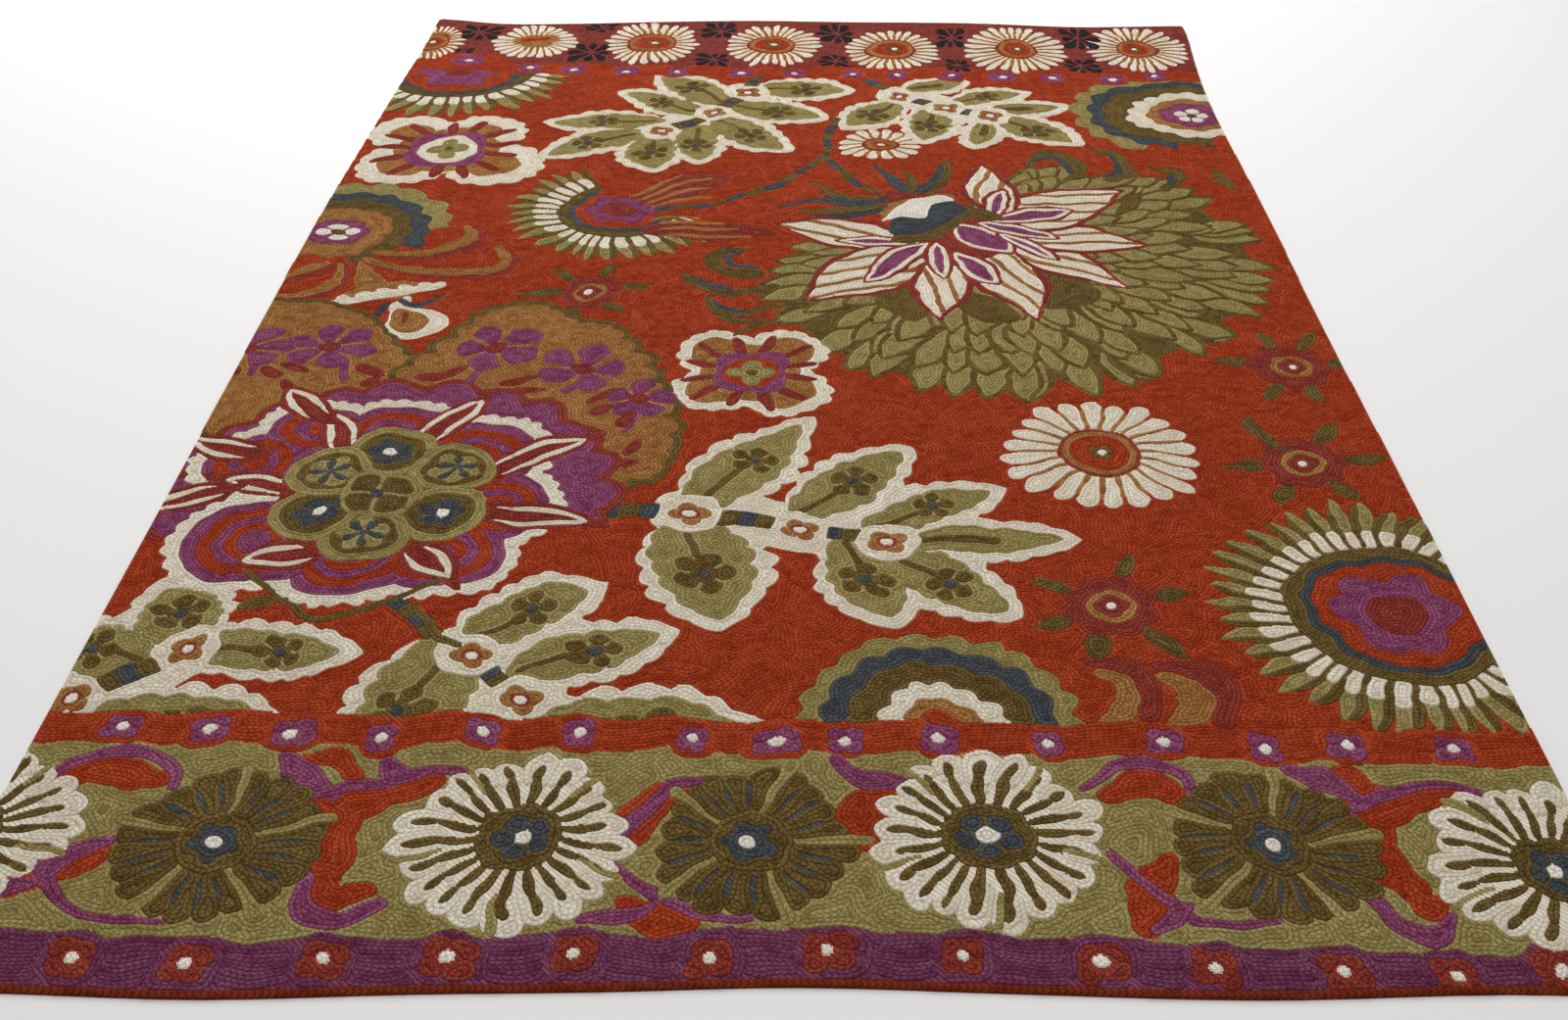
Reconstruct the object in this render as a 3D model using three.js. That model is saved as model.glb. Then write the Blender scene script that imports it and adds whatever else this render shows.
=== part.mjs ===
// A suzani rug lying flat: one piece of cotton cloth, worked all over in wool chain stitch.
// Millimetres, +Z up. The origin is at the centre of the rug's box, on the floor under it.
// X runs across the rug and Y along it, from the olive border (-Y) to the rose border (+Y).
import * as THREE from 'three'

// Nominal size of the rug, five feet by eight, and its thickness with the stitching on it.
const RUG_WIDTH = 1524
const RUG_LENGTH = 2438
const RUG_THICKNESS = 4.2

// The turned hem is rounded over at the edge.
const EDGE_ROUND = 1.3
const EDGE_ROUND_STEPS = 2

// Each corner is rounded to this radius, and the edges are sampled at this spacing.
const CORNER_RADIUS = 7
const CORNER_STEPS = 3
const EDGE_STEP = 44

// How far each edge strays outwards from the nominal rectangle, in millimetres: the hand work
// pulls the cloth in between the motifs and lets it flare at the corners.
// "at" is the share of the way along the edge, from -X to +X or from -Y to +Y.
const FRONT_STRAY = [
  { at: 0.0, out: 10 },
  { at: 0.07, out: 13 },
  { at: 0.17, out: 17 },
  { at: 0.29, out: 9 },
  { at: 0.4, out: 4 },
  { at: 0.51, out: -3 },
  { at: 0.63, out: 1 },
  { at: 0.77, out: 5 },
  { at: 0.92, out: -4 },
  { at: 1.0, out: -1 },
]
const BACK_STRAY = [
  { at: 0.0, out: 17 },
  { at: 0.03, out: 9 },
  { at: 0.08, out: -10 },
  { at: 0.18, out: -9 },
  { at: 0.29, out: 4 },
  { at: 0.42, out: 14 },
  { at: 0.55, out: 9 },
  { at: 0.72, out: 5 },
  { at: 0.86, out: -15 },
  { at: 0.94, out: -10 },
  { at: 1.0, out: -5 },
]
const LEFT_STRAY = [
  { at: 0.0, out: 9 },
  { at: 0.18, out: 6 },
  { at: 0.35, out: 7 },
  { at: 0.6, out: 9 },
  { at: 0.76, out: 0 },
  { at: 0.86, out: -7 },
  { at: 0.94, out: -14 },
  { at: 1.0, out: -15 },
]
const RIGHT_STRAY = [
  { at: 0.0, out: -11 },
  { at: 0.2, out: -13 },
  { at: 0.32, out: -14 },
  { at: 0.5, out: -17 },
  { at: 0.62, out: -14 },
  { at: 0.84, out: -15 },
  { at: 0.92, out: -4 },
  { at: 0.98, out: 8 },
  { at: 1.0, out: 9 },
]

// A smooth edge through a table's rows: how far it strays at a share of the way along.
function strayAlong(table) {
  const places = new Float32Array(table.map((row) => row.at))
  const strays = new Float32Array(table.map((row) => row.out))
  const smooth = new THREE.CubicInterpolant(places, strays, 1)
  return (share) => smooth.evaluate(share)[0]
}

// The four edges in turn, anticlockwise from the front left corner. Each one gives the point
// at a share of the way along it.
function rugEdges() {
  const halfWidth = RUG_WIDTH / 2
  const halfLength = RUG_LENGTH / 2
  const front = strayAlong(FRONT_STRAY)
  const back = strayAlong(BACK_STRAY)
  const left = strayAlong(LEFT_STRAY)
  const right = strayAlong(RIGHT_STRAY)
  const acrossFront = (s) => -halfWidth - left(0) + (RUG_WIDTH + left(0) + right(0)) * s
  const acrossBack = (s) => -halfWidth - left(1) + (RUG_WIDTH + left(1) + right(1)) * s
  const upLeft = (s) => -halfLength - front(0) + (RUG_LENGTH + front(0) + back(0)) * s
  const upRight = (s) => -halfLength - front(1) + (RUG_LENGTH + front(1) + back(1)) * s
  return [
    { length: RUG_WIDTH, at: (s) => new THREE.Vector2(acrossFront(s), -halfLength - front(s)) },
    { length: RUG_LENGTH, at: (s) => new THREE.Vector2(halfWidth + right(s), upRight(s)) },
    { length: RUG_WIDTH, at: (s) => new THREE.Vector2(acrossBack(1 - s), halfLength + back(1 - s)) },
    { length: RUG_LENGTH, at: (s) => new THREE.Vector2(-halfWidth - left(1 - s), upLeft(1 - s)) },
  ]
}

// The rug's outline: each edge is sampled between its corners, and each corner is a small
// curve from the end of one edge to the start of the next.
function rugOutline() {
  const edges = rugEdges()
  const points = []
  edges.forEach((edge, index) => {
    const inset = CORNER_RADIUS / edge.length
    const steps = Math.round(edge.length / EDGE_STEP)
    for (let i = 0; i <= steps; i++) {
      points.push(edge.at(inset + (1 - 2 * inset) * (i / steps)))
    }
    const following = edges[(index + 1) % edges.length]
    const end = edge.at(1 - inset)
    const start = following.at(CORNER_RADIUS / following.length)
    const corner = new THREE.QuadraticBezierCurve(end, edge.at(1), start)
    for (let i = 1; i < CORNER_STEPS; i++) {
      points.push(corner.getPoint(i / CORNER_STEPS))
    }
  })
  return points
}

// The stitched cloth as one slab with a rounded hem, flat underneath where it lies.
function stitchedCloth() {
  const geometry = new THREE.ExtrudeGeometry(new THREE.Shape(rugOutline()), {
    depth: RUG_THICKNESS - 2 * EDGE_ROUND,
    bevelThickness: EDGE_ROUND,
    bevelSize: EDGE_ROUND,
    bevelOffset: -EDGE_ROUND,
    bevelSegments: EDGE_ROUND_STEPS,
    curveSegments: 1,
  })
  geometry.computeBoundingBox()
  const centre = geometry.boundingBox.getCenter(new THREE.Vector3())
  geometry.translate(-centre.x, -centre.y, EDGE_ROUND)
  const wool = new THREE.MeshStandardMaterial({ color: 0xa6391d, roughness: 0.95, metalness: 0 })
  const cloth = new THREE.Mesh(geometry, wool)
  cloth.name = 'embroidered_cloth'
  return cloth
}

const rug = new THREE.Group()
rug.add(stitchedCloth())

export default rug
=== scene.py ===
import math

import bpy
import numpy as np
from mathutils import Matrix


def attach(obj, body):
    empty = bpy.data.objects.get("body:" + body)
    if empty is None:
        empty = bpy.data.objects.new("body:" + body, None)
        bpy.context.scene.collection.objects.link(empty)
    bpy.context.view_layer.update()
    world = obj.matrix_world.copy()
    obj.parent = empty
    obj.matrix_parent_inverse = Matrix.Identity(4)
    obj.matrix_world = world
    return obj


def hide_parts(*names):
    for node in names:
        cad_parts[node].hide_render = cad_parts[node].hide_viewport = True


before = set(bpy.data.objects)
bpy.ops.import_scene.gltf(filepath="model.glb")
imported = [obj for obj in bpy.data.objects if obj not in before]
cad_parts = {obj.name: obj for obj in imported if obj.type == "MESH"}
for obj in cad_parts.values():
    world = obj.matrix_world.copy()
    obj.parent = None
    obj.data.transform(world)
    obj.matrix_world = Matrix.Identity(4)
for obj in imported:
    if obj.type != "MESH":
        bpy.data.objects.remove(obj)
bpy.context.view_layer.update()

# The ground cloth: plain unbleached cotton with its four edges turned under and sewn down.
# The stitching hides its face and its turned edge, so it shows only underneath.
MM = 0.001
CLOTH_THICKNESS = 2.0
OUTLINE_STEP = 6.0
CLOTH_GRID = (62, 98)
HEM_TURN = 1.8


def rug_outline():
    """The slab's widest line: its corners at mid height, in order of their angle about the
    middle, with a point every few millimetres along the straight lines between them."""
    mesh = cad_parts["embroidered_cloth"].data
    corners = np.empty(len(mesh.vertices) * 3)
    mesh.vertices.foreach_get("co", corners)
    corners = corners.reshape(-1, 3) / MM
    middle = corners[:, 2].max() / 2
    widest = corners[np.abs(corners[:, 2] - middle) < middle / 2][:, :2]
    widest = np.unique(widest.round(1), axis=0)
    widest = widest[np.argsort(np.arctan2(widest[:, 1], widest[:, 0]))]
    ring = np.vstack([widest, widest[:1]])
    run = np.append(0, np.cumsum(np.hypot(*np.diff(ring, axis=0).T)))
    places = np.arange(0, run[-1], OUTLINE_STEP)
    return np.stack([np.interp(places, run, ring[:, k]) for k in (0, 1)], axis=1)


outline = rug_outline()


def side_of_rug(start, end, count):
    """Points evenly spaced along the outline from the corner nearest start to the corner
    nearest end, going anticlockwise."""
    first, last = (np.argmin(np.hypot(*(outline - outline.max(0) * corner).T)) for corner in (start, end))
    points = np.roll(outline, -first, axis=0)[: (last - first) % len(outline) + 1]
    run = np.append(0, np.cumsum(np.hypot(*np.diff(points, axis=0).T)))
    places = np.linspace(0, run[-1], count)
    return np.stack([np.interp(places, run, points[:, k]) for k in (0, 1)], axis=1)


def cloth_surface():
    """A grid blended from the four edges: the front and back edges mixed by the share of the
    way along, plus the left and right edges mixed by the share across, less the corners."""
    across, along = CLOTH_GRID
    front = side_of_rug((-1, -1), (1, -1), across)
    right = side_of_rug((1, -1), (1, 1), along)
    back = side_of_rug((1, 1), (-1, 1), across)[::-1]
    left = side_of_rug((-1, 1), (-1, -1), along)[::-1]
    s = np.linspace(0, 1, across)[None, :, None]
    t = np.linspace(0, 1, along)[:, None, None]
    edges = front * (1 - t) + back * t + left[:, None] * (1 - s) + right[:, None] * s
    front_corners = (1 - s) * front[0] + s * front[-1]
    back_corners = (1 - s) * back[0] + s * back[-1]
    return edges - (1 - t) * front_corners - t * back_corners


def grid_faces(rows, columns):
    """The four-sided faces between neighbouring points of a grid that is numbered row by row."""
    first = (np.arange(rows - 1)[:, None] * columns + np.arange(columns - 1)).ravel()
    return np.stack([first, first + 1, first + columns + 1, first + columns], axis=1)


def linear(hex_colour):
    """An sRGB hex colour as the linear colour that a shader takes."""
    parts = [int(hex_colour[k:k + 2], 16) / 255 for k in (1, 3, 5)]
    return [p / 12.92 if p <= 0.04045 else ((p + 0.055) / 1.055) ** 2.4 for p in parts] + [1.0]


def blank_material(name):
    """A new material, with the tree that its nodes go into and its one shader."""
    material = bpy.data.materials.new(name)
    material.use_nodes = True
    return material, material.node_tree, material.node_tree.nodes["Principled BSDF"]


def add(tree, kind, inputs=None, **settings):
    """Adds a node, sets its properties, and fills its inputs, by name or number, with values or
    with links. A node given as a value is linked from its first output."""
    made = tree.nodes.new("ShaderNode" + kind)
    for name, value in settings.items():
        setattr(made, name, value)
    for name, value in (inputs or {}).items():
        value = value.outputs[0] if isinstance(value, bpy.types.Node) else value
        if isinstance(value, bpy.types.NodeSocket):
            tree.links.new(value, made.inputs[name])
        else:
            made.inputs[name].default_value = value
    return made


def cotton():
    """Plain-woven unbleached cotton: matt, with the fine over and under of its threads.
    The weave is drawn at 1.2 mm a thread, twice as coarse as it is, so that it can show."""
    material, tree, shader = blank_material("plain_woven_cotton")
    place = add(tree, "TexCoord").outputs["Object"]
    threads = {"Vector": place, "Scale": 260.0, "Distortion": 0.4}
    warp, weft = (add(tree, "TexWave", threads, bands_direction=way).outputs["Fac"] for way in ("X", "Y"))
    weave = add(tree, "Math", {0: warp, 1: weft}, operation="MULTIPLY")
    # The colour is darker where the weave is low: painted shade in the hollows between threads.
    thread = add(tree, "Mix", {0: weave, 6: linear("#8f7f68"), 7: linear("#c3b493")}, data_type="RGBA")
    tree.links.new(thread.outputs[2], shader.inputs["Base Color"])
    raised = add(tree, "Bump", {"Strength": 0.4, "Distance": 0.0004, "Height": weave})
    tree.links.new(raised.outputs[0], shader.inputs["Normal"])
    shader.inputs["Roughness"].default_value = 0.9
    return material


def show(name, data):
    """An object at the origin that shows a mesh, a lamp or a camera."""
    made = bpy.data.objects.new(name, data)
    bpy.context.scene.collection.objects.link(made)
    return made


cloth_mesh = bpy.data.meshes.new("cotton_cloth")
flat_cloth = cloth_surface()
cloth_height = np.full(flat_cloth.shape[:2] + (1,), CLOTH_THICKNESS)
flat_cloth *= 1 - HEM_TURN / np.abs(flat_cloth).max(axis=(0, 1))
cloth_points = np.concatenate([flat_cloth, cloth_height], axis=2).reshape(-1, 3) * MM
cloth_mesh.from_pydata(cloth_points, [], grid_faces(CLOTH_GRID[1], CLOTH_GRID[0]))
cloth = show("cotton_cloth", cloth_mesh)
thickness = cloth.modifiers.new("thickness", "SOLIDIFY")
thickness.thickness = CLOTH_THICKNESS * MM
thickness.offset = -1
cloth_mesh.materials.append(cotton())
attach(cloth, "root")
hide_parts("embroidered_cloth")

# The drawing on the cloth: before a needle goes in, the pattern is drawn on the cotton by hand,
# one patch for each thing that is worked in one yarn. It is held as a fine grid of cells that
# say which patch they are in. A hand doesn't draw true, so the grid's measure strays a little.
CELL = 1.25
HALF_GRID = (785.0, 1250.0)
HEM_WIDTH = 6.5
OFF_THE_RUG = 0
HEM = 1
WOBBLES = ((150.0, 3.0), (45.0, 1.0))
MOST_STRAY = 6
hand = np.random.default_rng(1524)

east_line = np.arange(-HALF_GRID[0], HALF_GRID[0], CELL, dtype=np.float32)
north_line = np.arange(-HALF_GRID[1], HALF_GRID[1], CELL, dtype=np.float32)
grid_shape = (len(north_line), len(east_line))
# The hem is worked in the rust wool darkened: painted shade for the edge where it turns down.
yarn_of = ["none", "dark rust"]
patch_of = np.full(grid_shape, OFF_THE_RUG, np.int32)


def soft_noise(wave, height, count=7):
    """The sum of a few plane waves of about one length, each with a heading and a start drawn
    by chance: a smooth stray about as high as height."""
    total = np.zeros(grid_shape, np.float32)
    for _ in range(count):
        heading, start = hand.uniform(0, 2 * math.pi, 2)
        turns = 2 * math.pi / (wave * hand.uniform(0.6, 1.5))
        over, up = turns * math.cos(heading), turns * math.sin(heading)
        total += np.sin(over * east_line[None, :] + up * north_line[:, None] + start, dtype=np.float32)
    return total * (height / math.sqrt(count / 2))


east = east_line[None, :] + sum(soft_noise(wave, height) for wave, height in WOBBLES)
north = north_line[:, None] + sum(soft_noise(wave, height) for wave, height in WOBBLES)
WHOLE = (slice(None), slice(None))


def around(x, y, reach):
    """The window of cells within reach of a point, with some to spare for the grid's strays,
    and their places measured from the point."""
    reach += MOST_STRAY
    columns, rows = (
        slice(*(max(0, int((place + side * reach + half) / CELL)) for side in (-1, 1)))
        for place, half in zip((x, y), HALF_GRID)
    )
    return (rows, columns), east[rows, columns] - x, north[rows, columns] - y


def lay(window, inside, yarn):
    """Draws one patch where inside is true. The yarn is a name, which starts a new patch, or
    the number of a patch that this shape joins. The hem is left alone."""
    if isinstance(yarn, str):
        yarn_of.append(yarn)
        yarn = len(yarn_of) - 1
    cells = patch_of[window]
    cells[inside & (cells > HEM)] = yarn
    return yarn


def lay_many(window, inside, kind, yarn):
    """Draws many patches of one yarn at once: kind says which of them each cell belongs to."""
    first = len(yarn_of)
    yarn_of.extend([yarn] * (int(kind.max()) + 1))
    cells = patch_of[window]
    where = inside & (cells > HEM)
    cells[where] = first + kind[where]


def edge_distance(reach):
    """How far each cell is from the nearest cell of another patch, in millimetres: first the
    distance along its own row, then the least of the row distances and the steps up or down."""
    steps = np.arange(grid_shape[1], dtype=np.float32)
    change = patch_of[:, 1:] != patch_of[:, :-1]
    before = np.full(grid_shape, -1e4, np.float32)
    before[:, 1:] = np.where(change, steps[1:] - 0.5, -1e4)
    after = np.full(grid_shape, 1e4, np.float32)
    after[:, :-1] = np.where(change, steps[:-1] + 0.5, 1e4)
    before = np.maximum.accumulate(before, axis=1)
    after = np.minimum.accumulate(after[:, ::-1], axis=1)[:, ::-1]
    along_row = np.minimum(steps - before, after - steps) ** 2
    least = along_row.copy()
    for step in range(1, int(reach / CELL) + 1):
        ahead, behind = slice(step, None), slice(None, -step)
        for here, there in ((ahead, behind), (behind, ahead)):
            same = patch_of[here] == patch_of[there]
            found = np.where(same, along_row[there] + step * step, np.float32((step - 0.5) ** 2))
            least[here] = np.minimum(least[here], found)
    return np.sqrt(least) * CELL


# The rug's own shape on the grid, from the outline's distance from the middle at each angle.
# How far a cell is inside the outline is what is left of that line to the edge, times how
# squarely the line meets the edge. The hem shows only along the rug's two ends.
angle_of_outline = np.arctan2(outline[:, 1], outline[:, 0])
by_angle = np.argsort(angle_of_outline)
reach_of_rug = np.interp(
    np.arctan2(north_line[:, None], east_line[None, :]),
    angle_of_outline[by_angle], np.hypot(*outline.T)[by_angle], period=2 * math.pi,
)
from_middle = np.hypot(north_line[:, None], east_line[None, :])
across, along = np.abs(east_line)[None, :], np.abs(north_line)[:, None]
nearer_side = across / outline[:, 0].max() > along / outline[:, 1].max()
squareness = np.where(nearer_side, across, along) / np.maximum(from_middle, 1)
inside_outline = (reach_of_rug - from_middle) * squareness
patch_of[inside_outline > 0] = HEM
inner_cloth = inside_outline > np.where(nearer_side, 0, HEM_WIDTH)
patch_of[inner_cloth] = HEM + 1
yarn_of.append("rust")


# The grounds: open ground is filled in small whorls, each a nest of rounds that starts against
# its neighbours and works inwards, and the narrow guard bands are filled in straight rows.
WHORL = 82.0
ROW_PITCH = 4.6


def whorls():
    """Numbers the whorl that each cell is in: the nearest of a set of points, one strayed by
    chance in each square of a wide grid, measured on cloth that is itself bent by soft waves."""
    x = (east + soft_noise(95.0, 13.0)) / WHORL + 12
    y = (north + soft_noise(95.0, 13.0)) / (0.8 * WHORL) + 22
    stray = hand.uniform(0.12, 0.88, (2, 60, 40))
    column, row = x.astype(np.int32), y.astype(np.int32)
    nearest = np.full(grid_shape, 1e9, np.float32)
    number = np.zeros(grid_shape, np.int32)
    for up in (-1, 0, 1):
        for over in (-1, 0, 1):
            r, c = row + up, column + over
            far = (c + stray[0][r, c] - x) ** 2 + (r + stray[1][r, c] - y) ** 2
            closer = far < nearest
            nearest[closer] = far[closer]
            number[closer] = (r * 40 + c)[closer]
    return number


whorl_of = whorls()
lay_many(WHOLE, inner_cloth, whorl_of, "rust")
ROUND = (-361, 361)


def polar(x, y, reach, squash=1.0, turn=0.0):
    """The window round a point, with each cell's distance and angle (from the turn) about it.
    Squash is a flower's height over its width."""
    window, dx, dy = around(x, y, reach * max(1.0, squash))
    return window, np.hypot(dx, dy / squash), np.arctan2(dy / squash, dx) - math.radians(turn)


def scallops(angle, count, depth):
    """A rim's share of its full reach: full at each lobe and less by depth in each notch."""
    return 1 - depth * (1 - np.abs(np.cos(count * angle / 2)))


def disc(x, y, reach, yarn, squash=1.0, lobes=0, depth=0.0, turn=0.0):
    """A round patch, or one with lobes round its rim."""
    window, far, angle = polar(x, y, reach, squash, turn)
    return lay(window, far < reach * scallops(angle, lobes, depth), yarn)


def in_arc(angle, turn, arc):
    """Whether each angle from the turn is in an arc, given in degrees from straight right."""
    return (np.degrees(angle + math.radians(turn)) - arc[0]) % 360 + arc[0] < arc[1]


def petals(
    x, y, inner, outer, count, yarn,
    gap=6.0, squash=1.0, turn=0.0, fat=1.0, arc=ROUND, tip=None, uneven=0.0,
):
    """A wheel of separate petals: a cell is in one where its distance across the petal is under
    the half width, which grows with the radius and closes in a half circle, or in a longer
    curve, at the tip. Only the petals in the arc are worked."""
    window, far, angle = polar(x, y, outer * (1 + uneven), squash, turn)
    turned = (angle / (2 * math.pi) * count) % count
    number = turned.astype(np.int32) % count
    reach = outer * (1 + hand.uniform(-uneven, uneven, count)[number])
    half_width = math.pi * far / count * fat - gap / 2
    across = np.abs(turned % 1 - 0.5) * 2 * math.pi * far / count
    widest = math.pi * outer / count * fat - gap / 2
    tip = tip or widest
    end = reach - tip + tip * np.sqrt(np.maximum(1 - (across / widest) ** 2, 0))
    inside = (across < half_width) & (far > inner) & (far < end) & in_arc(angle, turn, arc)
    lay_many(window, inside, number, yarn)


def heading_of(start, end):
    """How long a straight line is, and how far it goes right and up in each unit of its length."""
    length = math.hypot(end[0] - start[0], end[1] - start[1])
    return length, (end[0] - start[0]) / length, (end[1] - start[1]) / length


def beside(start, end, spare):
    """The window round a straight line, with each cell's place along it from its middle and
    its distance across it, and the line's length."""
    length, ux, uy = heading_of(start, end)
    window, dx, dy = around((start[0] + end[0]) / 2, (start[1] + end[1]) / 2, length / 2 + spare)
    return window, dx * ux + dy * uy, dy * ux - dx * uy, length


def leaf(base, tip, width, yarn, grow=0.0, teeth=0, blunt=0.62, point=0.78):
    """A leaf from its base to its tip. Its half width is that of a curve that rises steeply at
    the base and falls to a point at the tip; teeth cut forwards into it; grow is an outer rim."""
    window, along, across, length = beside(base, tip, width / 2 + 2 * grow)
    t = np.clip((along + length / 2 + grow) / (length + 2.1 * grow), 0, 1)
    most = blunt ** blunt * point ** point / (blunt + point) ** (blunt + point)
    half = (width / 2 + grow) * t ** blunt * (1 - t) ** point / most
    half *= 1 - (0.17 * (1 - np.sin(math.pi * (t ** 1.2 * teeth % 1)) ** 0.7) if teeth else 0)
    return lay(window, np.abs(across) < half, yarn)


def through(points, step=3.0, closed=False):
    """A smooth curve through a few points (each span is a cubic that leaves each point along
    the line between its neighbours), as places about a step apart and the share along it."""
    p = np.array(points, float)
    ends = (p[-1:], p[:2]) if closed else (2 * p[:1] - p[1:2], 2 * p[-1:] - p[-2:-1])
    p = np.vstack([ends[0], p, ends[1]])
    spans = len(p) - 3
    s = np.linspace(0, spans, max(2, int(np.hypot(*np.diff(p[1:-1], axis=0).T).sum() / step)))
    k = np.minimum(s.astype(int), spans - 1)
    t = (s - k)[:, None]
    a, b, c, d = p[k], p[k + 1], p[k + 2], p[k + 3]
    curve = b + 0.5 * t * (c - a + t * (2 * a - 5 * b + 4 * c - d + t * (3 * (b - c) + d - a)))
    return curve, s / spans


def stem(points, width, yarn, ends=(1.0, 1.0), waves=0):
    """A band along a smooth curve, as the trail of a disc whose width swells from its share at
    the one end to the full width in the middle and back to its share at the other end, and
    goes in and out by a number of waves."""
    places, share = through(points)
    start = np.interp(share, [0, 0.45, 1], [ends[0], 1, ends[1]])
    start *= 1 + (0.12 * np.sin(2 * math.pi * waves * share) if waves else 0)
    for (x, y), size in zip(places, start * width / 2):
        window, dx, dy = around(x, y, size)
        yarn = lay(window, dx * dx + dy * dy < size * size, yarn)
    return yarn


def blot(points, yarn):
    """A patch inside a closed smooth curve through a few points: a cell is inside where a line
    from it to the right crosses the curve an odd number of times."""
    corners, _ = through(points, 8.0, closed=True)
    middle, half = (corners.max(0) + corners.min(0)) / 2, (corners.max(0) - corners.min(0)) / 2
    window, dx, dy = around(*middle, half.max())
    x, y = dx + middle[0], dy + middle[1]
    inside = np.zeros(x.shape, bool)
    for (x0, y0), (x1, y1) in zip(corners[:-1], corners[1:]):
        if y0 != y1:
            inside ^= ((y0 > y) != (y1 > y)) & (x < (x1 - x0) * (y - y0) / (y1 - y0) + x0)
    return lay(window, inside, yarn)


# Sunbursts: a brick heart in a purple flower on rust, then rings of slate and dark olive, a
# wheel of cream dashes, and light olive rays like a fringe.
def sunburst(x, y, heart, flower, rust, slate, dark, dashes, rays, count, arc=ROUND):
    """Concentric discs from the rays inwards, with the dashes and rays kept to the arc."""
    foot, side = dark - 8, 90 / count
    petals(x, y, foot, 0.97 * rays, count, "dark olive", 1.0, 1.0, side, 1.0, arc, 0.4 * rays, 0.03)
    petals(x, y, foot, rays, count, "light olive", 2.0, 1.0, 0.0, 0.66, arc, 0.36 * rays, 0.05)
    petals(x, y, foot, 0.5 * (dark + dashes), count, "dark olive", 0.0, turn=side, arc=arc)
    petals(x, y, dark + 2, dashes, count, "cream", 4.0, fat=0.86, arc=arc, uneven=0.04)
    window, far, angle = polar(x, y, dark)
    worked = in_arc(angle, 0, arc)
    lay(window, (far < dark) & worked, "dark olive")
    lay(window, (far < slate * scallops(angle, 13, 0.06)) & worked, "slate")
    for reach, yarn, lobes, depth in (
        (rust, "rust", 13, 0.06), (flower, "purple", 6, 0.24), (heart, "brick", 6, 0.06),
    ):
        disc(x, y, reach, yarn, 1.0, lobes, depth)


sunburst(-294, 331, 26, 55, 72, 84, 99, 137, 178, 34, arc=(114, 342))
sunburst(667, -694, 36, 75, 94, 106, 121, 158, 208, 40)
sunburst(-655, 945, 30, 84, 110, 123, 138, 174, 226, 36)


# Quatrefoils: four cream lobes with a scalloped rim round an ochre and rust field with brick
# rays, a purple ring, and a small olive flower.
def quatrefoil(x, y, lobes, band, ring, ground, heart, rays):
    """A disc for each lobe (its place from the middle and its reach), each layer less deep
    than the last, then the rays, which are longer into the lobes, and the discs of the middle."""
    for inset, yarn, rims in ((0, "cream", 0.09), (band, "ochre", 0.0)):
        for dx, dy, reach in lobes:
            yarn = disc(x + dx, y + dy, reach - inset, yarn, 1.0, 13, rims, hand.uniform(0, 28))
    disc(x, y, ring + 12, "ochre")
    for k in range(rays):
        heading = (k + hand.uniform(0.4, 0.6)) * 2 * math.pi / rays
        ux, uy = math.cos(heading), math.sin(heading)
        foot, out = 0.7 * ring, ring * (1.42 + 0.36 * abs(math.sin(2 * heading)))
        base, tip = (x + foot * ux, y + foot * uy), (x + out * ux, y + out * uy)
        leaf(base, tip, 0.25 * ring, "brick", blunt=0.5, point=0.4)
    disc(x, y, ring, "purple", lobes=4, depth=0.2, turn=45)
    disc(x, y, ring * 0.68, ground, lobes=4, depth=0.08)
    disc(x, y, heart, "light olive", lobes=4, depth=0.52)
    disc(x, y, 8, "dark olive")


quatrefoil(-612, 572, [(-76, 72, 78), (50, 74, 78), (-66, -72, 82), (88, -66, 88)], 40, 80, "cream", 40, 13)


# Leaf sprays: toothed olive leaves with a small dark flower on each, set round ochre nodes on
# a beaded stem, all inside a broad cream outline.
RIM = 19.0


def blocks(start, end, width, yarns):
    """A straight stretch of stem, worked across in short blocks of the yarns in turn."""
    window, along, across, length = beside(start, end, width)
    share = (along / length + 0.5) * len(yarns)
    near = np.abs(across) < width / 2
    for number, yarn in enumerate(yarns):
        lay(window, near & (share >= number) & (share < number + 1), yarn)


def leaf_flower(x, y, reach):
    """Five dark petals round a slate dot."""
    petals(x, y, 0, reach, 5, "dark olive", 1.0, tip=0.62 * reach, fat=0.84, turn=hand.uniform(0, 72))
    disc(x, y, 0.4 * reach, "dark olive")
    disc(x, y, 7, "slate")


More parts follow.
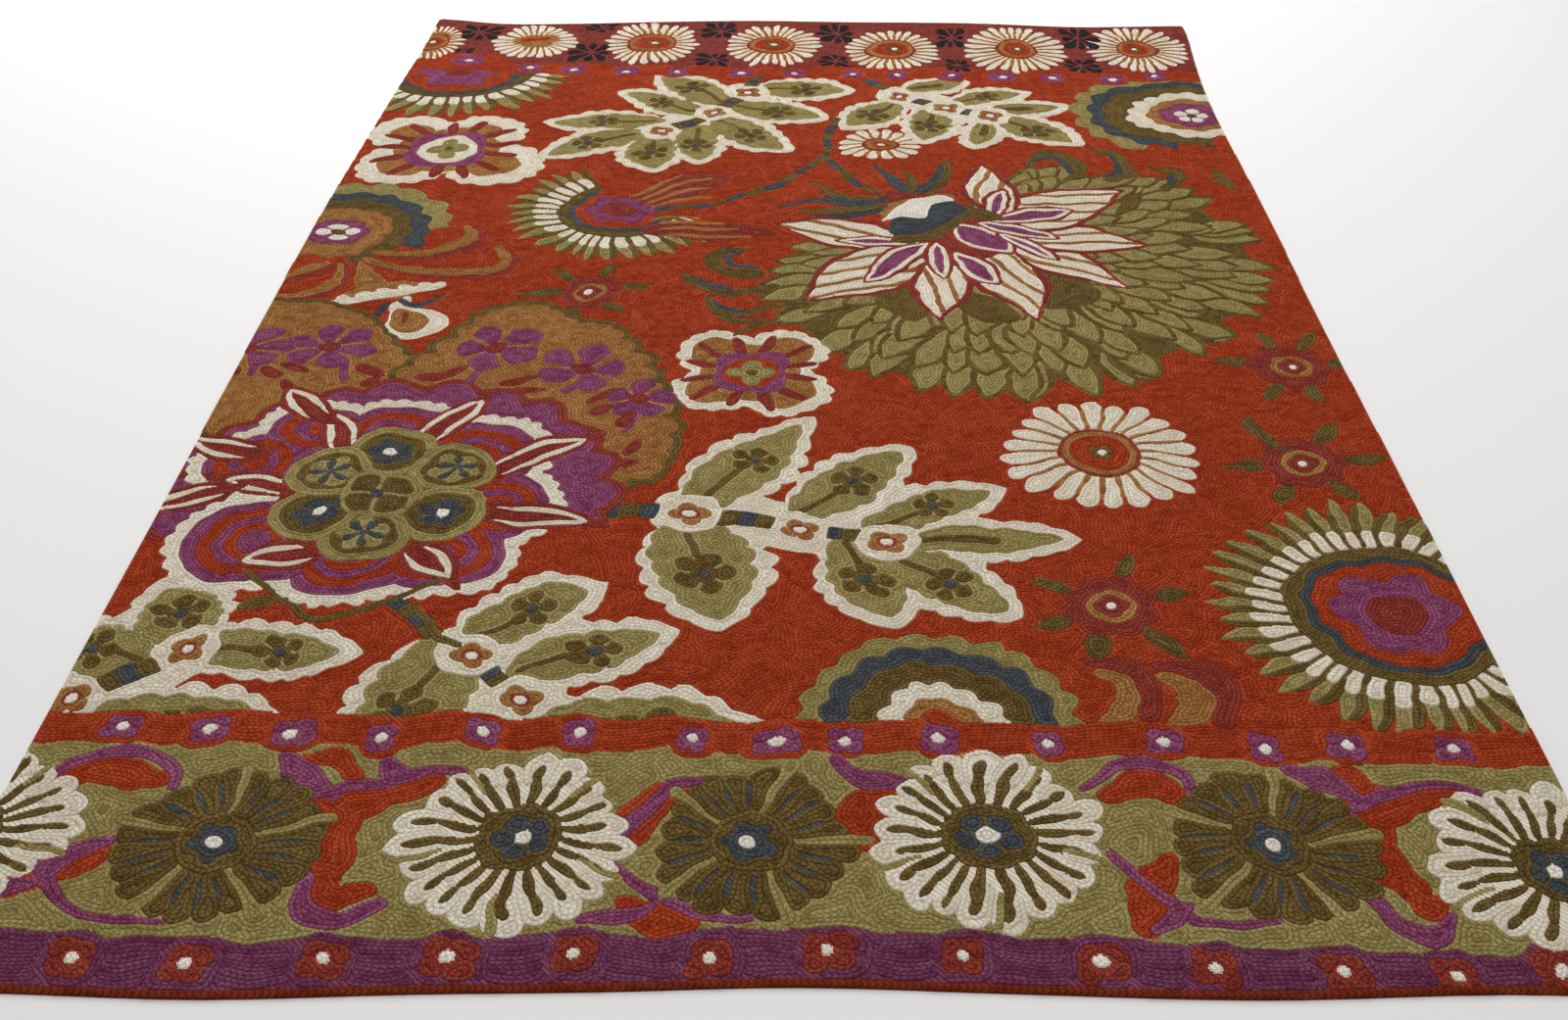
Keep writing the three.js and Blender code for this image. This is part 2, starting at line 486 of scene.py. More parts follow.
def leaf_spray(nodes, leaves, ends=()):
    """The cream shapes are one patch, so its rows run round the whole spray. On it come the
    leaf bodies, then each leaf's flower and stalk, the nodes, and the blocks of the stem."""
    rim = lay(WHOLE, np.zeros(grid_shape, bool), "cream")
    for x0, y0, x1, y1, width in leaves:
        leaf((x0, y0), (x1, y1), width, rim, RIM, teeth=6)
    for x, y in nodes:
        disc(x, y, 48, rim)
    for start, end in zip(nodes, nodes[1:]):
        stem([start, end], 94, rim)
    for x0, y0, x1, y1, width in leaves:
        leaf((x0 - 0.12 * (x1 - x0), y0 - 0.12 * (y1 - y0)), (x1, y1), width, "light olive", teeth=6)
        x, y = x0 + 0.5 * (x1 - x0), y0 + 0.5 * (y1 - y0)
        stalk = [(x0, y0), (x0 + 0.3 * (x1 - x0) + 3, y0 + 0.3 * (y1 - y0)), (x, y)]
        if width > 60:
            stem(stalk, 9, "dark olive")
            leaf_flower(x, y, 0.2 * width + 14)
        else:
            stem(stalk, 15, "dark olive", (0.6, 1.0))
    for x, y in nodes:
        disc(x, y, 38, rim, lobes=8, depth=0.05)
        disc(x, y, 24, "ochre", lobes=4, depth=0.34, turn=hand.uniform(0, 90))
        disc(x, y, 11, "brick")
        disc(x, y, 7, "white")
    for start, end in zip(nodes, nodes[1:]):
        length, ux, uy = heading_of(start, end)
        yarns = ("dark olive", "slate", "dark olive") if length > 105 else ("slate", "dark olive")
        first = (start[0] + 34 * ux, start[1] + 34 * uy)
        blocks(first, (end[0] - 34 * ux, end[1] - 34 * uy), 29, yarns)
    for start, end, width, yarns in ends:
        blocks(start, end, width, yarns)


leaf_spray(
    nodes=[(-101, 842), (-159, 740), (-251, 649)],
    leaves=[
        (-67, 858, 80, 856, 80), (-150, 795, -265, 925, 78), (-192, 752, -325, 835, 72),
        (-118, 775, 30, 722, 90), (-150, 700, -34, 578, 84), (-185, 672, -178, 530, 76),
        (-265, 632, -252, 492, 92), (-300, 645, -440, 556, 70), (-262, 700, -445, 695, 74),
    ],
    ends=[((-96, 872), (-86, 922), 24, ("dark olive", "slate", "dark olive"))],
)
leaf_spray(
    nodes=[(182, 826), (261, 770), (338, 730)],
    leaves=[
        (165, 785, 85, 680, 80), (240, 750, 216, 622, 72), (325, 703, 305, 600, 52),
        (368, 712, 472, 613, 82), (358, 760, 468, 776, 52), (280, 800, 408, 847, 66),
        (205, 870, 300, 895, 50),
    ],
    ends=[((158, 862), (122, 905), 20, ("dark olive", "slate"))],
)
leaf_spray(
    nodes=[(-128, -510), (5, -545), (106, -566)],
    leaves=[
        (-118, -486, 8, -312, 92), (10, -505, 130, -380, 88), (93, -533, 238, -460, 66),
        (143, -568, 318, -562, 56), (120, -598, 235, -700, 76), (60, -575, 104, -712, 88),
        (-128, -545, -80, -716, 128),
    ],
    ends=[((-272, -502), (-166, -512), 30, ("dark olive", "slate", "dark olive", "slate"))],
)
leaf_spray(
    nodes=[(-352, -780), (-286, -848)],
    leaves=[
        (-350, -742, -236, -662, 80), (-288, -802, -146, -742, 76), (-262, -905, -38, -893, 110),
        (-372, -772, -432, -965, 112),
    ],
    ends=[((-452, -684), (-388, -752), 24, ("slate", "dark olive", "slate", "dark olive"))],
)
leaf_spray(
    nodes=[(-655, -775), (-753, -855)],
    leaves=[
        (-662, -756, -708, -668, 92), (-628, -776, -488, -776, 70), (-722, -898, -528, -902, 112),
        (-700, -790, -810, -765, 84),
    ],
)


# Half rosettes: nested scalloped arches of light olive, slate and dark olive round a cream,
# ochre and purple flower. One stands on the lower guard, the others run off the rug's sides.
def rosette(x, y, rings, petal_count, squash=1.0):
    """Scalloped discs from the outermost ring inwards. Each ring is a reach, a yarn, its lobes
    and how deep they are, and the arc that it keeps to."""
    for reach, yarn, lobes, depth, arc in rings:
        window, far, angle = polar(x, y, reach, squash)
        lay(window, (far < reach * scallops(angle, lobes, depth)) & in_arc(angle, 0, arc), yarn)
    if petal_count:
        petals(x, y, 0, 31, petal_count, "white", 1.0, turn=-35, tip=16, fat=0.84)
        disc(x, y, 10, "dark olive")


rosette(703, 742, [
    (224, "light olive", 19, 0.08, (60, 238)), (190, "slate", 17, 0.07, (55, 254)),
    (160, "dark olive", 13, 0.06, (50, 276)), (120, "cream", 17, 0.09, ROUND),
    (84, "ochre", 12, 0.09, ROUND), (62, "purple", 7, 0.14, ROUND),
], 5, squash=0.88)
rosette(-728, 246, [
    (182, "light olive", 19, 0.08, (4, 110)), (145, "slate", 17, 0.07, (-24, 110)),
    (120, "dark olive", 13, 0.06, (-70, 200)), (92, "ochre", 12, 0.08, ROUND),
    (50, "purple", 6, 0.14, ROUND),
], 4)
rosette(150, -884, [
    (150, "light olive", 22, 0.07, ROUND), (126, "slate", 17, 0.07, ROUND),
    (100, "dark olive", 14, 0.07, ROUND), (68, "cream", 13, 0.13, ROUND),
    (42, "ochre", 9, 0.1, ROUND), (22, "rust", 0, 0.0, ROUND),
], 0, squash=0.98)


# Daisies: cream petals with ochre ribs between them round a ringed rust heart, with a small
# dark star and a white dot in the middle.
def daisy(x, y, width, height, core, count, turn=0.0, star=True):
    """The ribs are what shows between the petals of the ochre disc under them."""
    squash = height / width
    disc(x, y, width * 0.8, "ochre", squash)
    petals(x, y, core, width, count, "cream", 7.5, squash, turn, 1.05, tip=0.2 * width, uneven=0.06)
    disc(x, y, core + 3, "brick", squash ** 0.5)
    disc(x, y, core - 3, "ochre", squash ** 0.5)
    disc(x, y, core - 12, "rust", squash ** 0.5)
    if star:
        disc(x, y, 18, "dark olive", lobes=5, depth=0.5, turn=turn)
    disc(x, y, 6.5, "white")


daisy(384, -374, 130, 127, 50, 22)
daisy(135, 601, 72, 70, 28, 16, star=False)


# Small star flowers: a scalloped brick ring round an ochre one, on short dark olive leaves.
def star_flower(x, y, leaves, size=1.0):
    """A leaf that starts outside the flower towards each leaf's place, then the rings."""
    for place in leaves:
        far, ux, uy = heading_of((x, y), place)
        base, tip = (48 * size * ux + x, 48 * size * uy + y), ((far + 26) * ux + x, (far + 26) * uy + y)
        leaf(base, tip, 24 * size, "dark olive", blunt=0.7)
    disc(x, y, 58 * size, "brick", lobes=8, depth=0.16, turn=hand.uniform(0, 45))
    disc(x, y, 33 * size, "ochre", 0.9, lobes=8, depth=0.08)
    disc(x, y, 23 * size, "brick", 0.9, lobes=4, depth=0.2)
    disc(x, y, 7, "white")


star_flower(-307, 49, [(-359, 101), (-390, 43), (-332, -18), (-272, 0), (-238, 66), (-290, 118)], 0.84)
star_flower(672, -155, [(653, -82), (717, -86), (606, -142), (740, -151), (634, -218), (690, -224)])
star_flower(635, -395, [(596, -322), (680, -322), (714, -379), (555, -402), (598, -463), (671, -460)])
star_flower(352, -685, [(290, -650), (418, -665), (327, -759), (403, -752), (290, -720), (377, -618)])
stem([(596, -292), (604, -350), (618, -362)], 12, "dark olive")

# The palmette: a feathered mass of scale leaves, then a fan of cream petals with ochre streaks
# and brick edges, small purple petals, and a striped calyx at the top left.
PALMETTE = (270, 200)
MASS = (
    # angle from straight right, reach of the outermost leaves
    (-200, 240), (-180, 300), (-155, 372), (-135, 405), (-110, 440), (-85, 448), (-60, 440),
    (-40, 435), (-15, 455), (0, 450), (25, 438), (45, 400), (62, 330), (76, 250),
)
SCALE_ROWS = ((0, 42), (62, 39), (120, 34), (174, 28), (224, 22), (268, 17))


def scale_leaves():
    """A dark olive mass whose reach follows the table, then rows of leaves that point away from
    the middle, from the outermost row inwards, each row half a leaf out of step with the last."""
    angles, reaches = np.array(MASS, float).T
    window, far, angle = polar(*PALMETTE, 470)
    facing = (np.degrees(angle) + 200) % 360 - 200
    reach = np.interp(facing, angles, reaches)
    lay(window, (far < reach - 34) & (facing < angles[-1]), "dark olive")
    for row, (step_in, count) in enumerate(SCALE_ROWS):
        for k in range(count):
            heading = -196 + (k + 0.5 * (row % 2)) * 270 / count + hand.uniform(-2, 2)
            out = np.interp(heading, angles, reaches) - step_in
            bend = math.radians(heading + hand.uniform(2, 9))
            tip = (PALMETTE[0] + out * math.cos(bend), PALMETTE[1] + out * math.sin(bend))
            heading = math.radians(heading)
            base = (tip[0] - 112 * math.cos(heading), tip[1] - 112 * math.sin(heading))
            if out > 150 and heading < math.radians(74):
                for yarn, grow in (("dark olive", 8), ("light olive", 0)):
                    leaf(base, tip, 38, yarn, grow, blunt=1.0, point=0.9)


def striped_petal(base, tip, width, slant):
    """A petal in a brick edge, in slanting stripes of cream with thin ochre ones between."""
    leaf(base, tip, width, "brick", 10, blunt=0.8, point=1.05)
    ochre = leaf(base, tip, width, "ochre", blunt=0.8, point=1.05)
    window, along, across, _ = beside(base, tip, width)
    stripe = ((across + slant * along) / STRIPE + 0.36) % 1
    lay(window, (patch_of[window] == ochre) & (stripe < 0.72), "cream")


def purple_petal(base, tip, width):
    """A small purple petal in a cream edge, with a brick line round it."""
    for yarn, grow in (("brick", 15), ("cream", 8.5), ("purple", 0)):
        leaf(base, tip, width, yarn, grow, blunt=0.8, point=0.75)


STRIPE = 33.0
scale_leaves()
for shade in (
    [(340, 150), (378, 150), (420, 96), (440, 44), (400, 6), (356, 20)],
    [(112, 40), (168, 90), (196, 20), (170, -34), (138, -10)],
    [(236, 70), (272, 50), (312, -20), (272, -40), (236, 0)],
    [(508, 330), (540, 350), (556, 392), (524, 380)],
):
    blot(shade, "dark olive")
for slant, width, base, tip in (
    (0.12, 84, (176, 214), (-36, 288)), (0.42, 118, (200, 204), (10, 36)),
    (-0.3, 80, (222, 166), (200, -26)),
    (-0.38, 92, (296, 196), (344, -20)), (-0.3, 70, (318, 236), (486, 76)),
    (-0.24, 86, (334, 258), (532, 214)),
    (0.5, 116, (310, 286), (520, 410)), (0.3, 66, (322, 310), (302, 514)),
):
    striped_petal(base, tip, width, slant)
blot([(150, 246), (176, 196), (230, 166), (300, 176), (352, 236), (346, 306), (300, 344), (260, 330)],
    "brick")
for width, base, tip in (
    (14, (182, 216), (70, 226)), (28, (190, 212), (104, 98)), (15, (210, 212), (212, 112)),
    (22, (242, 178), (290, 98)), (50, (252, 280), (318, 190)), (10, (320, 242), (388, 172)),
    (19, (292, 290), (386, 242)), (26, (310, 304), (424, 338)), (14, (302, 316), (328, 406)),
):
    purple_petal(base, tip, width)

quatrefoil(-65, -178, [(-46, 50, 64), (46, 50, 62), (-46, -48, 62), (48, -50, 64)], 21, 62, "rust", 36, 12)

# The calyx: a brick arc, an ochre one, a dark olive band, a slate zigzag and a white one, with
# slate and dark olive tails that trail away from it to the left and upwards.
blot([(118, 318), (122, 372), (158, 404), (215, 412), (262, 392), (240, 350), (180, 320), (140, 296)],
    "brick")
blot([(128, 308), (142, 352), (182, 380), (236, 398), (254, 376), (200, 340), (150, 300)], "ochre")
stem([(156, 226), (200, 250), (238, 292), (272, 326), (306, 316)], 34, "dark olive", (0.7, 0.9), waves=5)
blot([(146, 250), (150, 318), (178, 336), (204, 362), (246, 368), (266, 334), (232, 296), (190, 262)],
    "slate")
blot([(128, 292), (150, 330), (176, 372), (224, 390), (252, 366), (212, 358), (196, 316), (160, 312)],
    "white")
for yarn, width, points in (
    ("slate", 23, [(168, 412), (152, 456), (124, 512)]),
    ("dark olive", 20, [(182, 408), (182, 452), (174, 490)]),
    ("slate", 23, [(192, 412), (222, 455), (238, 516)]),
    ("dark olive", 22, [(212, 404), (240, 456), (250, 540)]),
    ("slate", 20, [(142, 374), (80, 354), (12, 366), (-36, 348)]),
    ("dark olive", 21, [(136, 350), (80, 332), (30, 326), (0, 330)]),
    ("slate", 18, [(128, 334), (70, 312), (24, 306)]),
    ("dark olive", 21, [(120, 380), (62, 392), (16, 438)]),
    ("slate", 15, [(112, 366), (58, 374), (30, 388)]),
):
    stem(points, width, yarn, (0.9, 0.35))

# Hooked olive fronds, some with a slate inner line, above and to the left of the palmette.
FRONDS = (
    # outer olive curve, inner slate curve if any, width
    ([(388, 516), (404, 556), (438, 558), (468, 520), (466, 470)],
     [(398, 534), (424, 548), (448, 530), (456, 492)], 34),
    ([(494, 578), (528, 568), (546, 530), (548, 490), (516, 456)],
     [(524, 560), (536, 524), (530, 488), (508, 470)], 34),
    ([(594, 513), (626, 494), (630, 460), (600, 424)], [(622, 478), (612, 448)], 30),
    ([(694, 504), (700, 462), (714, 428)], (), 24),
    ([(-82, 194), (-118, 188), (-136, 158), (-122, 124), (-62, 106)],
     [(-84, 184), (-108, 168), (-104, 142), (-66, 128)], 34),
    ([(-176, 106), (-156, 72), (-100, 54), (-44, 66)], [(-162, 94), (-140, 74), (-99, 64)], 25),
    ([(-142, 36), (-126, 0), (-84, -14), (-34, 8)], [(-130, 26), (-110, 4), (-80, -4)], 24),
    ([(-124, -16), (-96, -36), (-56, -36)], (), 17),
    ([(-86, -76), (-60, -54), (-30, -44)], (), 17),
)
for outer, inner, width in FRONDS:
    stem(outer, width, "dark olive", (0.35, 0.7))
    if inner:
        stem(inner, 12, "slate", (0.6, 0.9))


# Beaded vines: a stem worked in short lengths of dark olive and slate in turn.
def beaded_vine(points, width=16.0, bead=33.0):
    """A band along a smooth curve, cut into beads of equal length in two yarns."""
    places, share = through(points)
    run = np.hypot(*np.diff(places, axis=0).T).sum()
    beads = (share * max(1, round(run / bead)) * 0.999).astype(int)
    for number in range(beads.max() + 1):
        yarn = "slate" if number % 2 else "dark olive"
        for x, y in places[beads == number]:
            window, dx, dy = around(x, y, width)
            yarn = lay(window, dx * dx + dy * dy < width * width / 4, yarn)


beaded_vine([(64, 711), (45, 640), (45, 576), (15, 500), (-34, 442), (-109, 379), (-172, 344), (-235, 335)])
beaded_vine([(36, 552), (62, 505), (88, 450), (132, 404)])

# Plumes of brick with ochre streaks that leave the middle sunburst on its open right side.
for base, tip, width in (((-262, 362), (-122, 474), 74), ((-252, 262), (-40, 250), 62)):
    leaf(base, tip, width, "brick", blunt=0.5, point=0.6)
for points in (
    [(-272, 392), (-240, 428), (-196, 462)], [(-262, 376), (-216, 418), (-150, 456)],
    [(-252, 364), (-206, 396), (-150, 424)], [(-244, 350), (-200, 368), (-150, 386)],
    [(-240, 296), (-204, 302), (-160, 300)], [(-226, 278), (-180, 282), (-124, 284)],
    [(-222, 258), (-160, 264), (-96, 262)], [(-218, 238), (-150, 240), (-76, 238)],
):
    stem(points, 12, "ochre", (0.6, 0.5))

# Tendrils in ochre with brick edges, and a carnation, below the left rosette.
for width, points in (
    (25, [(-650, 174), (-580, 174), (-530, 204), (-514, 234), (-526, 262)]),
    (27, [(-662, 154), (-598, 124), (-521, 108), (-466, 122), (-444, 160), (-464, 200)]),
    (23, [(-704, 134), (-698, 80), (-722, 40), (-780, 16)]),
    (22, [(-724, 140), (-748, 118), (-768, 90)]),
):
    stem([(x + 9, y - 9) for x, y in points], width + 9, "brick", (0.5, 0.6))
    stem(points, width, "ochre", (0.5, 0.6), waves=6)
leaf((-674, 152), (-626, 50), 50, "ochre", blunt=1.1, point=0.35)
blot([(-676, 34), (-640, 62), (-600, 78), (-560, 74), (-540, 58), (-600, 22), (-640, 14)], "ochre")
stem([(-680, 8), (-640, 22), (-592, 42), (-536, 66)], 22, "cream", (0.8, 0.9))
for x, y in ((-668, 24), (-640, 34), (-612, 44), (-584, 56), (-556, 68)):
    disc(x, y, 11, "cream")
stem([(-580, 22), (-590, -8), (-566, -34)], 18, "cream")
stem([(-525, 34), (-556, 8), (-588, 18)], 13, "slate", (0.5, 0.9))
stem([(-606, 2), (-612, -44)], 13, "slate", (0.9, 0.5))
blot([(-590, -4), (-546, 0), (-508, -30), (-516, -74), (-554, -94), (-584, -60)], "cream")
blot([(-588, -10), (-552, -8), (-528, -34), (-534, -64), (-556, -74), (-580, -50)], "ochre")
stem([(-568, -16), (-560, -40)], 9, "brick")

# The paired lobes: two ochre arches side by side with a dark olive edge, filled with purple
# flowers and small brick sprigs. They stand behind the big rosette.
LEFT_LOBE = [
    (-782, -30), (-740, -14), (-690, -14), (-640, -40), (-590, -96), (-550, -166), (-530, -230),
    (-600, -300), (-782, -320),
]
RIGHT_LOBE = [
    (-528, -230), (-508, -150), (-470, -62), (-420, -10), (-370, -12), (-320, -52), (-268, -84),
    (-220, -150), (-190, -236), (-172, -330), (-178, -400), (-212, -440), (-330, -470), (-460, -380),
]


def about(points, share):
    """The same ring of points drawn in towards its middle by a share."""
    middle = points.mean(axis=0)
    return middle + (points - middle) * share


for lobe in (LEFT_LOBE, RIGHT_LOBE):
    places, _ = through(lobe, 40, closed=True)
    for yarn, share, reach in (("dark olive", 1.0, 28), ("ochre", 0.985, 20)):
        for x, y in about(places, share):
            yarn = disc(x, y, reach, yarn)
        blot(lobe, yarn)
for x, y, reach, count, foot in (
    (-655, -117, 64, 6, (-618, -206)), (-765, -122, 64, 6, (-748, -196)), (-421, -120, 66, 5, (-448, -212)),
    (-298, -168, 62, 5, (-316, -236)), (-208, -256, 48, 5, (-226, -330)),
):
    stem([(x, y), ((x + foot[0]) / 2 + 6, (y + foot[1]) / 2), foot], 13, "purple", (1.0, 0.8))
    petals(x, y, 0, reach, count, "purple", 2.0, 1.0, hand.uniform(0, 60), 0.84, ROUND, 0.5 * reach, 0.08)
    disc(x, y, 15, "brick", lobes=6, depth=0.1)
for base, tip in (
    ((-612, -170), (-556, -200)), ((-668, -190), (-712, -172)), ((-704, -205), (-740, -180)),
    ((-500, -206), (-452, -168)), ((-520, -196), (-478, -196)), ((-400, -214), (-352, -196)),
    ((-388, -232), (-336, -232)), ((-284, -262), (-250, -222)), ((-272, -290), (-246, -262)),
    ((-236, -322), (-212, -286)), ((-222, -390), (-196, -350)), ((-234, -412), (-196, -402)),
    ((-770, -200), (-778, -160)), ((-590, -216), (-560, -204)),
):
    leaf(base, tip, 19, "brick", blunt=0.5, point=0.6)

# The big rosette: six dark circles round a small one, pointed cream-edged petals between
# lobes of purple and rust arcs, and a scalloped cream rim.
ROSETTE = (-511, -479)
LOBES = (
    # angle, reach, reach of the lobe's own arcs
    (94, 226, 96), (38, 240, 100), (-8, 238, 88), (-50, 246, 96), (-92, 226, 102), (-142, 264, 104),
    (158, 268, 84), (128, 262, 80),
)
SPIKES = (
    ((-484, -366), (-425, -268)), ((-390, -432), (-284, -350)), ((-374, -517), (-262, -530)),
    ((-450, -584), (-402, -640)), ((-566, -590), (-630, -616)), ((-570, -392), (-614, -296)),
    ((-622, -306), (-678, -242)), ((-616, -464), (-696, -446)), ((-686, -388), (-772, -368)),
    ((-694, -466), (-784, -512)),
)
rosette(-502, -476, [(290, "brick", 22, 0.07, (-12, 205)), (278, "purple", 22, 0.09, (-12, 205))], 0, 0.95)
disc(*ROSETTE, 200, "brick")
for layers in (
    ((0, "cream", 0.08),), ((22, "purple", 0.0),), ((38, "rust", 0.0),), ((54, "purple", 0.0),),
    ((68, "rust", 0.0), (82, "purple", 0.0)),
):
    for angle, reach, arcs in LOBES:
        heading = math.radians(angle)
        x = ROSETTE[0] + (reach - arcs) * math.cos(heading)
        y = ROSETTE[1] + (reach - arcs) * math.sin(heading)
        for inset, yarn, rims in layers:
            disc(x, y, arcs - inset, yarn, lobes=24, depth=rims)
for base, (x, y) in SPIKES:
    _, ux, uy = heading_of(ROSETTE, (x, y))
    stem([(x, y), (x + 34 * ux, y + 34 * uy)], 18, "brick", (1.0, 0.5))
    for yarn, grow in (("brick", 17), ("cream", 9)):
        leaf(base, (x, y), 19, yarn, grow, blunt=0.7)
    leaf((1.25 * base[0] - 0.25 * x, 1.25 * base[1] - 0.25 * y), (x, y), 21, "brick", blunt=0.5)
disc(*ROSETTE, 132, "brick", lobes=6, depth=0.1, turn=30)
for k, (x, y) in enumerate(
    ((-513, -381), (-430, -420), (-427, -518), (-511, -564), (-580, -518), (-580, -431))
):
    disc(x, y, 54, "light olive")
    disc(x, y, 40, "dark olive")
    if k % 2:
        petals(x, y, 6, 34, 5, "light olive", 7.0, turn=20 * k)
        petals(x, y, 0, 26, 5, "slate", 0.0, turn=20 * k + 36, fat=0.5)
    else:
        petals(x, y, 4, 28, 5, "slate", 0.0, turn=20 * k, fat=0.9)
        disc(x, y, 8, "white")
disc(*ROSETTE, 54, "light olive")
petals(*ROSETTE, 8, 48, 4, "dark olive", 7.0, tip=12)
disc(*ROSETTE, 10, "slate")

# Odd things near the lower guard: ochre commas with a brick edge, and thin olive stems.
for x in (346, 420):
    stem([(x - 34, -786), (x + 4, -790), (x + 28, -826), (x + 18, -880)], 34, "brick", (0.35, 0.7))
    stem([(x - 26, -804), (x - 4, -820), (x - 2, -850), (x - 20, -880)], 29, "ochre", (0.55, 1.0), waves=4)
stem([(-625, -640), (-582, -682), (-520, -722), (-463, -694), (-405, -655)], 9, "dark olive")
leaf((-580, -684), (-622, -712), 22, "dark olive")
stem([(-420, -702), (-390, -748), (-370, -764)], 10, "dark olive")


# The bands across the rug, over the ends of the field: a rose border at the back with its rust
# guard, and at the front a rust guard, an olive border and a purple guard.
def across_rug(table):
    """Where a line across the rug runs, from a short table of places (x, y)."""
    places, heights = np.array(table, float).T
    return np.interp(east, places, heights)


GUARD_TOP = across_rug([(-790, 1042), (-600, 1040), (-560, 985), (0, 976), (790, 962)])
GUARD_FOOT = across_rug([(-790, 960), (-560, 938), (-200, 922), (790, 905)])
LOWER_GUARD_TOP = across_rug([(-790, -876), (300, -880), (790, -890)])
OLIVE_TOP = across_rug([(-790, -922), (0, -925), (790, -938)])
OLIVE_FOOT = across_rug([(-790, -1160), (-480, -1173), (50, -1152), (550, -1176), (790, -1168)])


def straight_rows(inside, yarn):
    """Fills a band with straight rows: strips two rows wide, worked up one side and down the
    other."""
    strips = ((north + HALF_GRID[1]) / (2 * ROW_PITCH)).astype(np.int32)
    lay_many(WHOLE, inside, strips, yarn)


lay_many(WHOLE, north > GUARD_TOP, whorl_of, "rose")
straight_rows((north > GUARD_FOOT) & (north < GUARD_TOP), "rust")
straight_rows((north < LOWER_GUARD_TOP) & (north > OLIVE_TOP), "rust")
lay_many(WHOLE, (north < OLIVE_TOP) & (north > OLIVE_FOOT), whorl_of, "light olive")
# The front guard is worked in the purple wool darkened: painted shade for the dimmer light at the rug's
# front.
straight_rows(north < OLIVE_FOOT, "dark purple")


def dot_flower(x, y, reach, yarn, ground, squash=1.0, lobes=4):
    """A small flower with a few square lobes and a white dot, in a round of the ground's wool."""
    disc(x, y, reach + 7, ground, squash, lobes=lobes, depth=0.1, turn=45)
    petals(x, y, 0, reach, lobes, yarn, 1.5, squash, hand.uniform(-9, 9), tip=0.7 * reach, uneven=0.08)
    disc(x, y, 0.4 * reach, yarn)
    disc(x, y, 6.5, "white")


dot_flower(-646, 998, 30, "purple", "rust", 1.1, 5)
for x, y in (
    (-525, 960), (-436, 952), (-338, 952), (-236, 948), (-115, 946), (-11, 942), (95, 937),
    (180, 931), (284, 927), (375, 928), (473, 919), (583, 917), (675, 938),
):
    dot_flower(x, y, 25, "purple", "rust")
for x in (-688, -591, -507, -416, -320, -217, -103, -18, 50, 149, 259, 375, 473, 552, 660):
    dot_flower(x, -902 - 0.009 * (x + 700) + hand.uniform(-5, 5), 22.5, "purple", "rust")
# The brick flowers of the front guard sit in rounds of the same darkened purple: painted shade.
for x, y in (
    (-735, -1192), (-630, -1195), (-525, -1203), (-407, -1198), (-300, -1192), (-188, -1190), (-73, -1190),
    (40, -1181), (151, -1184), (270, -1190), (372, -1192), (485, -1200), (575, -1198), (668, -1194),
):
    dot_flower(x, y, 26, "brick", "dark purple")

# The rose border: a row of cream daisies with pairs of small black flowers between them.
for x, y, width, height, core, turn in (
    (-742, 1100, 72, 95, 36, 0), (-298, 1100, 97, 116, 46, 4), (-60, 1093, 95, 115, 45, 0),
    (175, 1070, 93, 108, 44, 5), (418, 1076, 99, 130, 44, 2), (657, 1079, 99, 121, 42, 7),
):
    daisy(x, y, width, height, core, 27, turn=turn)
disc(-531, 1106, 66, "ochre")
petals(-531, 1106, 14, 86, 24, "cream", 6.0, 1.08, 5, 1.05, tip=14, uneven=0.06)
leaf((-574, 1106), (-488, 1130), 42, "ochre", blunt=0.3, point=0.3)
leaf((-560, 1110), (-502, 1126), 20, "rust", blunt=0.3, point=0.3)


def black_flower(x, y, half_width, half_height):
    """Eight narrow petals, every second one a little longer."""
    squash = half_height / half_width
    petals(x, y, 4, 0.95 * half_width, 8, "black", 4.0, squash, 22.5, 0.9, tip=0.7 * half_width,
        uneven=0.12)
    petals(x, y, 4, 1.14 * half_width, 4, "black", 0.0, squash, 0.0, 0.4, tip=0.6 * half_width, uneven=0.08)
    disc(x, y, 5, "brick")


for row in (
    (-646, 1158, 38, 46), (-662, 1053, 25, 16), (-410, 1192, 32, 24), (-418, 1046, 37, 61),
    (-172, 1177, 37, 51), (-178, 1010, 35, 35), (64, 1163, 40, 61), (60, 1004, 33, 34),
    (296, 1138, 35, 60), (296, 985, 33, 38), (548, 1135, 39, 61), (538, 985, 37, 38),
):
    black_flower(*row)

# The olive border: purple vines with toothed rust leaves wind between large flowers, cream
# petalled and dark lobed ones in turn.
for points, width in (
    ([(-618, -970), (-650, -966), (-696, -962), (-730, -990)], 44),
    ([(-640, -1070), (-668, -1084), (-700, -1108)], 38),
    ([(-358, -980), (-400, -986), (-436, -1014), (-430, -1060), (-434, -1106)], 58),
    ([(-436, -1100), (-420, -1126), (-390, -1112)], 30),
    ([(-490, -944), (-456, -944), (-426, -972)], 28), ([(-112, -975), (-142, -1004), (-150, -1042)], 36),
    ([(-152, -1120), (-124, -1140), (-98, -1146)], 36),
    ([(122, -974), (88, -984), (66, -1010), (62, -1046)], 46),
    ([(300, -984), (344, -966), (384, -988)], 38), ([(352, -1062), (330, -1100), (312, -1148)], 40),
    ([(634, -978), (588, -988), (548, -1008), (540, -1056), (566, -1098)], 56),
    ([(560, -1094), (578, -1122), (602, -1106)], 28),
    ([(522, -952), (548, -958), (560, -976)], 32), ([(-780, -1120), (-752, -1112), (-716, -1118)], 40),
):
    stem(points, width, "rust", (0.45, 0.7), waves=4)
